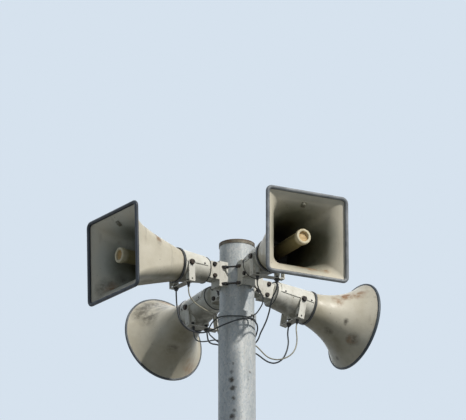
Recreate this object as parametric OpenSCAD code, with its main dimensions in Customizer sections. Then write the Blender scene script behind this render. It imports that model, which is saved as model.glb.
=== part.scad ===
// Pole-mounted warning siren: a two-piece steel mast with four horn loudspeakers
// Millimetres, Z up, origin under the middle of the base plate, front towards -Y

/* [Mast] */
// Height of the mast with its cap
mast_h = 6000; // [4500:10:8000]
// Outer diameter of the lower tube
lower_d = 168.3; // [150:0.1:200]
// Wall of both tubes
tube_wall = 4.5; // [3.5:0.1:6]
// Distance from the top of the mast down to the horn level
horn_drop = 166; // [120:1:260]
// Distance from the horn level down to the top of the lower tube
joint_drop = 200; // [150:1:260]
// Length of the upper tube inside the lower one
joint_lap = 320; // [200:10:500]
// Height of the collar on the joint
collar_h = 26; // [15:1:40]
// Outer diameter of the collar
collar_d = 175; // [172:0.5:182]
// Height of the cap's skirt
cap_h = 17; // [10:1:30]
// Wall of the cap
cap_wall = 2.2; // [1.5:0.1:4]

/* [Base] */
// Side of the square base plate
plate_w = 400; // [340:5:500]
// Thickness of the base plate
plate_t = 20; // [12:1:30]
// Corner radius of the base plate
plate_r = 25; // [5:1:40]
// Spacing of the anchor holes
anchor_pitch = 300; // [250:5:330]
// Diameter of the anchor holes
anchor_d = 27; // [18:1:34]
// Diameter of the cable hole in the base plate
duct_d = 60; // [30:1:66]
// Distance of the cable hole from the middle of the base plate
duct_y = 42; // [38:1:44]
// Height of the gussets
gusset_h = 150; // [80:5:250]
// Reach of the gussets from the tube
gusset_w = 90; // [50:5:110]
// Thickness of the gussets
gusset_t = 10; // [6:1:14]

/* [Cable entry] */
// Distance from the horn level down to the cable entry
entry_drop = 294; // [285:1:400]
// Hole of the cable entry's grommet
entry_d = 54; // [50:1:60]
// Wall of the grommet's sleeve
entry_wall = 2; // [1.5:0.5:4]
// Width of the grommet's outer lip
entry_lip = 6; // [4:1:12]
// Distance that the lip stands out of the tube
entry_proud = 5; // [3:1:10]

/* [Horn directions] */
// Azimuth of the front left horn
fl_azimuth = -144.5; // [-150:0.5:-138]
// Azimuth of the front right horn
fr_azimuth = -63.5; // [-70:0.5:-58]
// Azimuth of the back left horn
bl_azimuth = 123; // [117:0.5:129]
// Azimuth of the back right horn
br_azimuth = 31; // [25:0.5:37]
// Downward tilt of the front left horn
fl_tilt = 2; // [0:0.5:5]
// Downward tilt of the front right horn
fr_tilt = 0.5; // [0:0.5:5]
// Downward tilt of the back horns
back_tilt = 10.5; // [6:0.5:12]
// Distance that the front left horn's neck and mouth sit further out
fl_reach = -6; // [-15:1:15]
// Distance that the front right horn's neck and mouth sit further out
fr_reach = 8; // [-15:1:15]
// Height of the front horns' axis at the bracket over the horn level
front_rise = 8; // [0:1:12]
// Drop of the back horns' axis at the bracket under the horn level
back_drop = 34; // [20:1:40]

/* [Housing] */
// Distance from the mast axis to the rear of a housing
rear_x = 178; // [176:1:190]
// Diameter of a housing at its rear
rear_d = 118; // [100:1:124]
// Diameter of a housing at the neck
neck_d = 150; // [140:1:152]
// Distance from the mast axis to the neck of a square horn
square_neck_x = 344; // [335:1:370]
// Distance from the mast axis to the neck of a round horn
round_neck_x = 380; // [365:1:395]
// Distance from the mast axis to the yoke's bolts of a square horn
square_pivot_x = 303; // [285:1:310]
// Distance from the mast axis to the yoke's bolts of a round horn
round_pivot_x = 313; // [285:1:330]
// Thickness of the housing's upper cover
cover_t = 3; // [1.5:0.5:4]
// Height of the cover's lower edge over the horn's axis
cover_z = 3; // [2:1:8]
// Depth of the ring-shaped throat in the housing
throat_depth = 20; // [10:1:60]
// Width of the bosses for the yoke's bolts
boss_d = 30; // [24:1:36]
// Diameter of the bosses for the cable glands
gland_boss_d = 26; // [24:1:32]

/* [Bell] */
// Distance from the mast axis to the mouth of a square horn
square_mouth_x = 687; // [640:1:720]
// Distance from the mast axis to the mouth of a round horn
round_mouth_x = 650; // [600:1:690]
// Outer width of a square mouth
square_w = 404; // [360:1:420]
// Outer height of a square mouth
square_h = 396; // [360:1:420]
// Outer radius of a square mouth's corners
square_r = 30; // [24:1:50]
// Outer diameter of a round mouth
round_d = 420; // [370:1:430]
// Wall of the bells
bell_wall = 3; // [2:0.5:4]
// Length of the straight neck
neck_l = 9; // [8:1:14]
// Flare of the square bells
square_flare = 0.3; // [0.1:0.1:2.4]
// Share of a square bell's growth that its lip takes
lip_share = 0.4; // [0:0.05:0.5]
// Power by which a square bell's lip opens
lip_power = 12; // [6:1:16]
// Flare of the round bells
round_flare = 1.9; // [0.8:0.1:2.4]
// Diameter of the rim's round edge
rim_d = 17; // [10:0.5:18]
// Depth of the flat behind the rim's round edge
rim_flat = 3; // [2:0.5:5]
// Width of the neck ring
ring_w = 10; // [6:1:14]
// Thickness of the neck ring
ring_t = 5; // [2:0.5:6]

/* [Centre tube] */
// Outer diameter of the centre tube
centre_d = 62; // [50:1:66]
// Wall of the centre tube
centre_wall = 4; // [2:0.5:6]
// Diameter of the ring at its end
centre_ring_d = 70; // [67:1:78]
// Length of the ring at its end
centre_ring_l = 20; // [8:1:30]
// Hole of the ring at its end
centre_hole_d = 45; // [36:1:48]
// Depth of the hole of the ring
centre_hole_l = 12; // [6:1:16]
// Distance from the mouth back to the end of the tube
centre_set = 40; // [20:1:80]

/* [Yoke] */
// Gap between the neck's width and each arm of the yoke
yoke_gap = 1; // [0.5:0.5:6]
// Width of the yoke's strap
strap_w = 32; // [29:1:44]
// Thickness of the yoke's strap
strap_t = 4; // [3:0.5:6]
// Distance from the neck's width down to the underside of a square horn's yoke
square_yoke_low = 13; // [11:1:30]
// Distance from the neck's width down to the underside of a round horn's yoke
round_yoke_low = 21; // [11:1:40]
// Diameter of the small hole in each arm
strap_hole_d = 9; // [5:0.5:12]
// Height of the small hole over the underside of the yoke
strap_hole_up = 12; // [10:1:30]
// Diameter of the yoke's bolts
pivot_bolt_d = 12; // [8:1:14]
// Depth of the yoke's bolts in the housing
pivot_bolt_l = 25; // [15:1:35]

/* [Cable glands] */
// Distance of the cones from the middle of the yoke, and of a square horn's gland
gland_y = 49; // [40:1:54]
// Distance of a round horn's gland from the middle of the yoke
round_gland_y = 24; // [18:1:40]
// Diameter of the cone where it meets the yoke
cone_d = 16; // [13:1:20]
// Length of the cone under the yoke
cone_l = 20; // [16:1:40]
// Diameter of the gland's body
gland_d = 20; // [16:1:22]
// Length of the gland under the yoke
gland_l = 14; // [11:1:30]
// Width of the gland's nut across its corners
gland_nut_d = 26; // [23:1:30]
// Height of the gland's nut
gland_nut_h = 6; // [4:1:9]
// Diameter of the shank in the yoke's holes
gland_shank_d = 14; // [10:1:15]
// Depth of the hole that a cable comes out of
gland_hole_l = 10; // [6:1:14]

/* [Mast bracket] */
// Outer width of a bracket
bracket_w = 66; // [60:1:72]
// Thickness of a bracket's plates
bracket_t = 4; // [3:0.5:6]
// Distance from the mast axis to the bracket's middle face
web_x = 119; // [117:1:122]
// Top of the saddle over the horn level
saddle_top = 56; // [48:1:70]
// Bottom of the saddle under the horn level
saddle_low = 62; // [61:1:80]
// Height of the bracket's horn side
fork_h = 80; // [78:1:84]
// Distance from the mast axis to the end of the fork
fork_x = 167; // [164:1:168]
// Distance from the mast axis to the fork's bolts
fork_bolt_x = 146; // [144:1:148]
// Spacing of the fork's bolts
fork_bolt_pitch = 54; // [46:1:56]
// Diameter of the fork's bolts
fork_bolt_d = 10; // [8:1:12]
// Distance from the mast axis to the end of the housing's tongue
tongue_x = 131; // [130:1:134]
// Height of the tongue
tongue_h = 74; // [66:1:76]

/* [Clamp rods] */
// Diameter of the clamp rods
rod_d = 8; // [6:0.5:10]
// Height of the upper rods over the horn level
rod_top = 29; // [20:1:40]
// Drop of the lower rods under the horn level
rod_low = 50; // [40:1:52]
// Distance from the mast axis to the rods' holes, along the bracket
rod_x = 98; // [94:1:102]
// Diameter of the rods' nuts
rod_nut_d = 16; // [13:1:18]
// Distance that a nut stands out of the bracket
rod_nut_l = 12; // [8:1:16]

/* [Fits] */
// Gap between round faces that fit together
fit = 0.3; // [0.2:0.05:0.5]
// Gap round a bolt or a rod
bolt_fit = 0.5; // [0.3:0.1:0.8]
// Gap round a cable in its gland
cable_fit = 0.9; // [0.8:0.1:1.5]

/* [Cables] */
// Diameter of the black cables
black_d = 7; // [6:0.5:8]
// Diameter of the grey cables
grey_d = 6; // [5:0.5:7]

/* [Hidden] */
$fn = 64;

FL = 0;
FR = 1;
BL = 2;
BR = 3;
horns = [FL, FR, BL, BR];
azimuth = [fl_azimuth, fr_azimuth, bl_azimuth, br_azimuth];
tilt = [fl_tilt, fr_tilt, back_tilt, back_tilt];
reach = [fl_reach, fr_reach];
axis_rise = [front_rise, front_rise, -back_drop, -back_drop];
// Side of each horn, seen from the mast, that the grey cable's cone is on
cone_side = [1, -1, 1, -1];
horn_z = mast_h - horn_drop;
joint_z = horn_z - joint_drop;
entry_z = horn_z - entry_drop;

// Distance from a horn's axis down to the flat under the gland bosses
gland_seat = neck_d / 2;
yoke_w = neck_d + 2 * yoke_gap;

lower_r = lower_d / 2;
upper_r = lower_r - tube_wall - fit;
past = 1;

function is_square(i) = i == FL || i == FR;
function neck_x(i) = is_square(i) ? square_neck_x + reach[i] : round_neck_x;
function mouth_x(i) = is_square(i) ? square_mouth_x + reach[i] : round_mouth_x;
function pivot_x(i) = is_square(i) ? square_pivot_x : round_pivot_x;
function yoke_drop(i) = gland_seat + (is_square(i) ? square_yoke_low : round_yoke_low);

// The housing's radius grows evenly from its rear to the neck
function housing_r(i, x) =
    rear_d / 2 + (neck_d - rear_d) / 2 * (x - rear_x) / (neck_x(i) - rear_x);

module at_azimuth(i) {
    translate([0, 0, horn_z]) rotate([0, 0, azimuth[i]]) children();
}

// A horn's own frame: X runs out along its axis, measured from the mast
module at_horn(i) {
    at_azimuth(i)
        translate([fork_bolt_x, 0, axis_rise[i]])
        rotate([0, tilt[i], 0])
        translate([-fork_bolt_x, 0, 0])
        children();
}

module along_x(x) {
    translate([x, 0, 0]) rotate([0, 90, 0]) children();
}

module across_y(x, z) {
    translate([x, 0, z]) rotate([90, 0, 0]) children();
}

module base_flange() {
    color("silver") {
        difference() {
            linear_extrude(plate_t) difference() {
                union() {
                    square([plate_w, plate_w - 2 * plate_r], center = true);
                    square([plate_w - 2 * plate_r, plate_w], center = true);
                    for (x = [-1, 1], y = [-1, 1])
                        translate([x, y] * (plate_w / 2 - plate_r)) circle(plate_r);
                }
                translate([0, duct_y]) circle(d = duct_d);
                for (x = [-1, 1], y = [-1, 1])
                    translate([x, y] * anchor_pitch / 2) circle(d = anchor_d);
            }
        }
        for (a = [0:90:270]) rotate([0, 0, a]) gusset();
    }
}

module gusset() {
    toe = gusset_h / 6;
    root = lower_r + fit;
    translate([0, gusset_t / 2, 0]) rotate([90, 0, 0])
        linear_extrude(gusset_t)
        polygon([
            [root, plate_t - past], [root + gusset_w, plate_t - past],
            [root + gusset_w, plate_t + toe], [root + toe, plate_t + gusset_h],
            [root, plate_t + gusset_h]
        ]);
}

module lower_tube() {
    color("silver") difference() {
        translate([0, 0, plate_t]) cylinder(r = lower_r, h = joint_z - plate_t);
        translate([0, 0, plate_t - past])
            cylinder(r = lower_r - tube_wall, h = joint_z - plate_t + 2 * past);
        translate([0, 0, entry_z]) rotate([-90, 0, 0])
            cylinder(d = entry_d + 2 * entry_wall + 2 * bolt_fit, h = lower_d);
    }
}

module joint_collar() {
    color("silver") translate([0, 0, joint_z]) difference() {
        cylinder(d = collar_d, h = collar_h);
        translate([0, 0, -past]) cylinder(r = upper_r + fit, h = collar_h + 2 * past);
    }
}

module upper_tube() {
    low = joint_z - joint_lap;
    entry_gap = entry_d + 2 * entry_wall + 2 * bolt_fit;
    color("silver") difference() {
        translate([0, 0, low]) cylinder(r = upper_r, h = mast_h - cap_wall - low);
        translate([0, 0, low - past])
            cylinder(r = upper_r - tube_wall, h = mast_h - low + 2 * past);
        translate([0, 0, entry_z]) rotate([-90, 0, 0]) cylinder(d = entry_gap, h = lower_d);
    }
}

module top_cap() {
    color("saddlebrown") translate([0, 0, mast_h - cap_h]) difference() {
        cylinder(r = upper_r + fit + cap_wall, h = cap_h);
        translate([0, 0, -past]) cylinder(r = upper_r + fit, h = cap_h - cap_wall + past);
    }
}

module cable_grommet() {
    sleeve = entry_d + 2 * entry_wall;
    inner = upper_r - tube_wall;
    color("dimgray") translate([0, 0, entry_z]) rotate([-90, 0, 0]) difference() {
        union() {
            translate([0, 0, inner]) cylinder(d = sleeve, h = lower_r + entry_proud - inner);
            difference() {
                cylinder(d = sleeve + 2 * entry_lip, h = lower_r + entry_proud);
                rotate([90, 0, 0]) cylinder(r = lower_r + fit, h = 2 * lower_d, center = true);
            }
        }
        translate([0, 0, -past]) cylinder(d = entry_d, h = lower_d);
    }
}

// Where a clamp rod crosses the outer face of bracket i, on side s
function rod_end(i, s) = [
    rod_x * cos(azimuth[i]) - s * bracket_w / 2 * sin(azimuth[i]),
    rod_x * sin(azimuth[i]) + s * bracket_w / 2 * cos(azimuth[i])
];

// Neighbouring horns, each pair counter-clockwise seen from above
rod_pairs = [[FL, FR], [FR, BR], [BR, BL], [BL, FL]];

module rod_line(pair, d, over, z) {
    a = rod_end(pair[0], 1);
    b = rod_end(pair[1], -1);
    run = b - a;
    translate([a[0], a[1], z])
        rotate([0, 0, atan2(run[1], run[0])]) rotate([0, 90, 0])
        translate([0, 0, -over]) cylinder(d = d, h = norm(run) + 2 * over);
}

// Everything within reach of bracket i's outer face on side s
module beside_bracket(i, s) {
    at_azimuth(i)
        translate([0, s > 0 ? bracket_w / 2 : -bracket_w / 2 - rod_nut_l, -horn_z])
        cube([2 * rod_x, rod_nut_l, mast_h]);
}

module clamp_rods() {
    color("dimgray") for (pair = rod_pairs, z = [horn_z + rod_top, horn_z - rod_low]) {
        rod_line(pair, rod_d, rod_d, z);
        for (end = [0, 1]) intersection() {
            rod_line(pair, rod_nut_d, rod_nut_d, z);
            beside_bracket(pair[end], end == 0 ? 1 : -1);
        }
    }
}

module mast_bracket(i) {
    half = bracket_w / 2;
    saddle_h = saddle_top + saddle_low;
    color("whitesmoke") difference() {
        at_azimuth(i) {
            for (s = [-1, 1]) {
                y = s > 0 ? half - bracket_t : -half;
                translate([0, y, -saddle_low]) cube([web_x, bracket_t, saddle_h]);
                translate([web_x, y, axis_rise[i] - fork_h / 2])
                    cube([fork_x - web_x, bracket_t, fork_h]);
            }
            translate([web_x - bracket_t, -half, -saddle_low])
                cube([bracket_t, bracket_w, saddle_h]);
            translate([web_x, -half, axis_rise[i] - fork_h / 2])
                cube([bracket_t, bracket_w, fork_h]);
        }
        cylinder(r = upper_r + fit, h = mast_h + past);
        at_horn(i) for (s = [-1, 1])
            across_y(fork_bolt_x, s * fork_bolt_pitch / 2)
            cylinder(d = fork_bolt_d + 2 * bolt_fit, h = 2 * bracket_w, center = true);
        for (pair = rod_pairs, z = [horn_z + rod_top, horn_z - rod_low])
            if (pair[0] == i || pair[1] == i)
                rod_line(pair, rod_d + 2 * bolt_fit, 2 * rod_d, z);
    }
}

module housing(i) {
    front = neck_x(i);
    edge = rear_d / 12;
    color("ivory") at_horn(i) difference() {
        union() {
            along_x(rear_x) cylinder(r1 = rear_d / 2 - edge, r2 = rear_d / 2, h = edge);
            along_x(rear_x + edge)
                cylinder(d1 = rear_d, d2 = neck_d, h = front - rear_x - edge);
            housing_cover(i);
            across_y(pivot_x(i), 0) cylinder(d = boss_d, h = yoke_w, center = true);
            for (y = [cone_y(i), gland_at(i)]) translate([pivot_x(i), y, -gland_seat])
                cylinder(d = gland_boss_d, h = gland_seat - boss_d / 4);
            tongue();
        }
        along_x(front - throat_depth) difference() {
            cylinder(
                r1 = housing_r(i, front - throat_depth) - 2 * bell_wall,
                r2 = housing_r(i, front + past) - 2 * bell_wall,
                h = throat_depth + past);
            translate([0, 0, -past]) cylinder(d = centre_d, h = throat_depth + 3 * past);
        }
        for (s = [-1, 1])
            translate([pivot_x(i), s * yoke_w / 2, 0]) rotate([90, 0, 0])
            cylinder(d = pivot_bolt_d + 2 * bolt_fit, h = 2 * pivot_bolt_l, center = true);
        for (s = [-1, 1])
            across_y(fork_bolt_x, s * fork_bolt_pitch / 2)
            cylinder(d = fork_bolt_d + 2 * bolt_fit, h = bracket_w, center = true);
    }
}

module housing_cover(i) {
    start = rear_x + rear_d / 5;
    end = neck_x(i) - ring_w;
    intersection() {
        along_x(start) cylinder(
            r1 = housing_r(i, start) + cover_t, r2 = housing_r(i, end) + cover_t,
            h = end - start);
        translate([start - past, -neck_d, cover_z])
            cube([end - start + 2 * past, 2 * neck_d, neck_d]);
    }
}

module tongue() {
    width = bracket_w - 2 * bracket_t - 2 * fit;
    translate([tongue_x, -width / 2, -tongue_h / 2])
        cube([rear_x + past - tongue_x, width, tongue_h]);
}

function flare(u, rate) = (exp(rate * u) - 1) / (exp(rate) - 1);

bell_steps = 20;
corner_steps = 6;
// Share of its half width that the neck's corners are rounded by
neck_round = 0.98;
// Power by which the corners turn from round at the neck to the mouth's
corner_power = 0.7;
// Power by which the steps close up towards the mouth
step_power = 1.6;

// Distance along a bell at step j: a straight neck, then steps that close up to the rim
function bell_l(i) = mouth_x(i) - rim_t - neck_x(i) - neck_l;
function bell_x(i, j) = j == 0 ? neck_x(i) : neck_x(i) + neck_l + bell_l(i) * bell_u(j);
function bell_u(j) = j == 0 ? 0 : 1 - pow(1 - (j - 1) / (bell_steps - 1), step_power);
rim_t = rim_d - rim_flat;

// Share of the growth at u: a slow flare with a lip, and how steep that is
function lipped(u) = (1 - lip_share) * flare(u, square_flare) + lip_share * pow(u, lip_power);
function lipped_rise(u) =
    (1 - lip_share) * square_flare * exp(square_flare * u) / (exp(square_flare) - 1)
    + lip_share * lip_power * pow(u, lip_power - 1);

// Half the bell's width or height at step j, and its corner radius
function square_half(j, mouth) =
    neck_d / 2 + (mouth / 2 - rim_d / 2 - neck_d / 2) * lipped(bell_u(j));
function square_corner(j) =
    let (share = pow(bell_u(j), corner_power))
    square_half(j, square_h) * neck_round * (1 - share) + (square_r - rim_d / 2) * share;

// The wall's breadth across the axis at step j, where it leans outwards
function wall_across(i, j) =
    let (slope = (square_w / 2 - rim_d / 2 - neck_d / 2) * lipped_rise(bell_u(j)) / bell_l(i))
    j == 0 ? bell_wall : bell_wall * sqrt(1 + slope * slope);

// Points of a square bell's rounded outline at step j, drawn in by inset
function square_ring(i, j, inset) =
    let (
        half_y = square_half(j, square_w) - inset,
        half_z = square_half(j, square_h) - inset,
        r = square_corner(j) - inset
    )
    [
        for (q = [0:3], s = [0:corner_steps])
            let (
                a = 90 * (q + s / corner_steps),
                side_y = q == 0 || q == 3 ? 1 : -1,
                side_z = q < 2 ? 1 : -1
            )
            [
                bell_x(i, j), side_y * (half_y - r) + r * cos(a),
                side_z * (half_z - r) + r * sin(a)
            ]
    ];

module square_bell(i) {
    per_ring = 4 * (corner_steps + 1);
    outer = [for (j = [0:bell_steps]) each square_ring(i, j, 0)];
    inner = [for (j = [0:bell_steps]) each square_ring(i, j, wall_across(i, j))];
    in = len(outer);
    function at(j, k) = j * per_ring + k % per_ring;
    faces = [
        for (j = [0:bell_steps - 1], k = [0:per_ring - 1]) each [
            [at(j, k), at(j + 1, k), at(j + 1, k + 1)],
            [at(j, k), at(j + 1, k + 1), at(j, k + 1)],
            [in + at(j, k), in + at(j + 1, k + 1), in + at(j + 1, k)],
            [in + at(j, k), in + at(j, k + 1), in + at(j + 1, k + 1)]
        ],
        for (k = [0:per_ring - 1]) each [
            [at(0, k), at(0, k + 1), in + at(0, k + 1)],
            [at(0, k), in + at(0, k + 1), in + at(0, k)],
            [at(bell_steps, k), in + at(bell_steps, k), in + at(bell_steps, k + 1)],
            [at(bell_steps, k), in + at(bell_steps, k + 1), at(bell_steps, k + 1)]
        ]
    ];
    polyhedron(points = concat(outer, inner), faces = faces, convexity = 6);
}

function round_half(j) =
    neck_d / 2 + (round_d / 2 - rim_d / 2 - neck_d / 2) * flare(bell_u(j), round_flare);

module round_bell(i) {
    along_x(0) rotate_extrude($fn = 96) polygon([
        for (j = [0:bell_steps]) [round_half(j), bell_x(i, j)],
        for (j = [bell_steps:-1:0]) [round_half(j) - bell_wall, bell_x(i, j)]
    ]);
}

module bell(i) {
    color("ivory") at_horn(i) if (is_square(i)) square_bell(i);
    else round_bell(i);
}

// Cut through the rim: a round edge with a flat back, where the bell meets it
module rim_section() {
    intersection() {
        circle(d = rim_d, $fn = 32);
        translate([-rim_d, -rim_t + rim_d / 2]) square(2 * rim_d);
    }
}

module rim(i) {
    color("darkslategray") at_horn(i) along_x(mouth_x(i) - rim_d / 2)
        if (is_square(i)) square_rim();
        else rotate_extrude($fn = 96) translate([round_d / 2 - rim_d / 2, 0]) rim_section();
}

module square_rim() {
    r = square_r - rim_d / 2;
    flat = [square_h / 2 - square_r, square_w / 2 - square_r];
    for (k = [0:3]) rotate([0, 0, 90 * k]) {
        across = flat[k % 2];
        along = flat[(k + 1) % 2];
        translate([across + r, along, 0]) rotate([90, 0, 0])
            linear_extrude(2 * along) rim_section();
        translate([across, along, 0])
            rotate_extrude(angle = 90) translate([r, 0]) rim_section();
    }
}

module center_tube(i) {
    start = neck_x(i);
    end = mouth_x(i) - centre_set;
    inner = centre_d / 2 - centre_wall;
    ring = end - centre_ring_l;
    floor_x = end - centre_hole_l;
    color("wheat") at_horn(i) along_x(0) rotate_extrude() polygon([
        [inner, start], [centre_d / 2, start], [centre_d / 2, ring],
        [centre_ring_d / 2, ring], [centre_ring_d / 2, end], [centre_hole_d / 2, end],
        [centre_hole_d / 2, floor_x], [0, floor_x], [0, ring], [inner, ring]
    ]);
}

module neck_rings() {
    inner = neck_d / 2 + 1;
    color("black") for (i = horns) at_horn(i) along_x(neck_x(i) - ring_w / 2) difference() {
        cylinder(r = inner + ring_t, h = ring_w);
        translate([0, 0, -past]) cylinder(r = inner, h = ring_w + 2 * past);
    }
}

module yoke(i) {
    arm_y = yoke_w / 2;
    drop = yoke_drop(i);
    hole_d = gland_shank_d + 2 * bolt_fit;
    color("whitesmoke") at_horn(i) translate([pivot_x(i), 0, 0]) difference() {
        union() {
            for (s = [-1, 1]) translate([0, s * (arm_y + strap_t / 2), 0]) {
                rotate([90, 0, 0]) cylinder(d = strap_w, h = strap_t, center = true);
                translate([0, 0, -drop / 2])
                    cube([strap_w, strap_t, drop], center = true);
            }
            translate([0, 0, -drop + strap_t / 2])
                cube([strap_w, yoke_w + 2 * strap_t, strap_t], center = true);
        }
        across_y(0, 0)
            cylinder(d = pivot_bolt_d + 2 * bolt_fit, h = 2 * yoke_w, center = true);
        across_y(0, strap_hole_up - drop)
            cylinder(d = strap_hole_d, h = 2 * yoke_w, center = true);
        for (y = [cone_y(i), gland_at(i)])
            translate([0, y, -2 * drop]) cylinder(d = hole_d, h = 2 * drop);
    }
}

// A shank from the housing's boss down through the yoke
module gland_shank(i, y) {
    translate([pivot_x(i), y, -yoke_drop(i) - past])
        cylinder(d = gland_shank_d, h = yoke_drop(i) + past - gland_seat);
}

// Places of the cone and of the gland across the yoke
function cone_y(i) = cone_side[i] * gland_y;
function gland_at(i) = -cone_side[i] * (is_square(i) ? gland_y : round_gland_y);

module glands(i) {
    low = -yoke_drop(i);
    color("dimgray") at_horn(i) {
        difference() {
            union() {
                gland_shank(i, cone_y(i));
                translate([pivot_x(i), cone_y(i), low - cone_l])
                    cylinder(d1 = cone_d / 2 + 2, d2 = cone_d, h = cone_l);
            }
            translate([pivot_x(i), cone_y(i), low - cone_l - past])
                cylinder(d = grey_d + 2 * cable_fit, h = gland_hole_l + past);
        }
        difference() {
            union() {
                gland_shank(i, gland_at(i));
                translate([pivot_x(i), gland_at(i), low - gland_nut_h])
                    cylinder(d = gland_nut_d, h = gland_nut_h, $fn = 6);
                translate([pivot_x(i), gland_at(i), low - gland_l])
                    cylinder(d1 = gland_d * 0.7, d2 = gland_d, h = gland_l - gland_nut_h);
            }
            translate([pivot_x(i), gland_at(i), low - gland_l - past])
                cylinder(d = black_d + 2 * cable_fit, h = gland_hole_l + past);
        }
    }
}

// A bolt along Z: a shank down from 0, a washer and a six-sided head up
module bolt(d, l) {
    translate([0, 0, -l]) cylinder(d = d, h = l + past);
    cylinder(d = 2.2 * d, h = d / 5);
    translate([0, 0, d / 5]) cylinder(d = 1.9 * d, h = d * 0.6, $fn = 6);
}

module horn_bolts() {
    color("darkslategray") for (i = horns) at_horn(i) {
        for (s = [-1, 1])
            translate([pivot_x(i), s * (yoke_w / 2 + strap_t), 0]) rotate([-90 * s, 0, 0])
            bolt(pivot_bolt_d, pivot_bolt_l + strap_t - past);
        for (z = [-fork_bolt_pitch / 2, fork_bolt_pitch / 2])
            fork_bolt(z);
    }
}

module fork_bolt(z) {
    for (s = [-1, 1])
        translate([fork_bolt_x, s * bracket_w / 2, z]) rotate([-90 * s, 0, 0])
        bolt(fork_bolt_d, bracket_w / 2 + past);
}

// Routes of the cables, from their glands to the cable entry
fl_black_route = [
    [-272.4, -134.1, 5742.6], [-271.4, -133.4, 5706], [-268, -133, 5661], [-259, -134, 5615],
    [-236, -129, 5578], [-206, -124, 5554], [-175, -120, 5544], [-143, -116, 5546],
    [-102, -112, 5562], [-60, -109, 5583], [-14, -107, 5602], [34, -104, 5615], [68, -86, 5616],
    [88, -54, 5606], [93, -20, 5595], [90, 10, 5584], [84, 38, 5574], [72, 64, 5563],
    [56, 86, 5552], [36, 100, 5546], [16, 92, 5545], [8, 72, 5545]
];
fl_grey_route = [
    [-215.3, -213.8, 5736.6], [-214.5, -213.2, 5706], [-208, -207, 5684], [-190, -192, 5663],
    [-167, -172, 5650], [-143, -148, 5642], [-121, -122, 5639], [-104, -92, 5642],
    [-97, -60, 5644], [-93, -28, 5640], [-91.5, 0, 5628], [-89, 24, 5612], [-84, 50, 5594],
    [-70, 76, 5575], [-52, 94, 5562], [-36, 100, 5557], [-16, 92, 5556], [-8, 72, 5556]
];
fr_black_route = [
    [178.7, -248.6, 5746.6], [178.6, -248.3, 5721], [173, -234, 5701], [161, -192, 5690],
    [152, -150, 5670], [145, -112, 5645], [134, -74, 5618], [120, -38, 5595], [108, -4, 5580],
    [102, 22, 5571], [96, 46, 5563], [85, 69, 5554], [68, 88, 5546], [50, 99, 5538],
    [36, 100, 5535], [16, 92, 5534], [8, 72, 5534]
];
fr_grey_route = [
    [91, -292.2, 5740.6], [91, -291.9, 5714], [101, -274, 5688], [115, -236, 5676],
    [116, -190, 5664], [104, -140, 5652], [84, -96, 5638], [56, -80, 5630], [24, -92, 5629],
    [-12, -94, 5630], [-46, -86, 5632], [-78, -74, 5630], [-104, -66, 5615], [-120, -54, 5595],
    [-127, -36, 5578], [-123, -14, 5568], [-113, 10, 5564], [-102, 34, 5561], [-86, 62, 5556],
    [-64, 88, 5548], [-36, 100, 5545], [-16, 92, 5545], [-8, 72, 5545]
];
bl_black_route = [
    [-138.7, 257.6, 5669.3], [-135.9, 253.3, 5642], [-134, 248, 5629], [-131.5, 240, 5617],
    [-128, 229, 5607], [-123, 215, 5598], [-117, 200, 5590], [-110, 185, 5583],
    [-102, 169, 5577], [-93, 154, 5571], [-84, 140, 5564], [-72, 126, 5554], [-60, 116, 5541],
    [-48, 108, 5530], [-36, 100, 5523], [-16, 92, 5523], [-8, 72, 5523]
];
bl_grey_route = [
    [-199.3, 217, 5663.4], [-196.3, 212.4, 5634], [-193, 207.5, 5620], [-187, 200, 5608],
    [-179, 191, 5600], [-168, 181, 5594], [-155, 171, 5590], [-140, 160, 5588],
    [-125, 150, 5587], [-110, 140, 5587], [-97, 131, 5585], [-84, 122, 5580], [-72, 114, 5570],
    [-61, 109, 5555], [-50, 105, 5541], [-36, 100, 5534], [-16, 92, 5534], [-8, 72, 5534]
];
br_black_route = [
    [237.6, 170.8, 5669.3], [233.8, 168.4, 5645], [232, 158, 5622], [233, 142, 5598],
    [234, 125, 5573], [231, 110, 5546], [224, 100, 5518], [212, 96, 5492], [193, 95, 5473],
    [168, 96, 5465], [143, 98, 5471], [122, 102, 5485], [105, 106, 5500], [88, 109, 5513],
    [64, 108, 5521], [36, 100, 5523], [16, 92, 5523], [8, 72, 5523]
];
br_grey_route = [
    [274.3, 107.6, 5663.4], [270.1, 105.1, 5637], [271, 101, 5611], [273, 97, 5584],
    [271, 93, 5556], [263, 89, 5528], [246, 85, 5503], [218, 82, 5485], [186, 83, 5478],
    [156, 88, 5484], [137, 95, 5496], [120, 104, 5514], [103, 113, 5536], [86, 119, 5554],
    [64, 114, 5561], [36, 102, 5557], [16, 92, 5556], [8, 72, 5556]
];

// A tube of diameter d along the points of a route, rounded by a spline through them
module cable(route, d) {
    sides = 8;
    path = smooth_path(route);
    n = len(path);
    rings = [for (k = [0:n - 1]) each cable_ring(path, k, d / 2, sides)];
    polyhedron(
        points = rings,
        faces = [
            [for (s = [0:sides - 1]) s],
            for (k = [0:n - 2], s = [0:sides - 1])
                let (a = k * sides, t = (s + 1) % sides)
                each [
                    [a + s, a + sides + s, a + sides + t],
                    [a + s, a + sides + t, a + t]
                ],
            [for (s = [sides - 1:-1:0]) (n - 1) * sides + s]
        ],
        convexity = 8);
}

route_steps = 4;

// Point on a Catmull-Rom curve between b and c, where a and d are their neighbours
function curve_at(a, b, c, d, t) =
    0.5 * (2 * b + (c - a) * t + (2 * a - 5 * b + 4 * c - d) * t * t
        + (3 * b - a - 3 * c + d) * t * t * t);

function smooth_path(p) = [
    for (k = [0:len(p) - 2], s = [0:route_steps - 1])
        curve_at(
            p[max(k - 1, 0)], p[k], p[k + 1], p[min(k + 2, len(p) - 1)], s / route_steps),
    p[len(p) - 1]
];

function unit(v) = v / norm(v);
function heading(p, k) = unit(p[min(k + 1, len(p) - 1)] - p[max(k - 1, 0)]);

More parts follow.
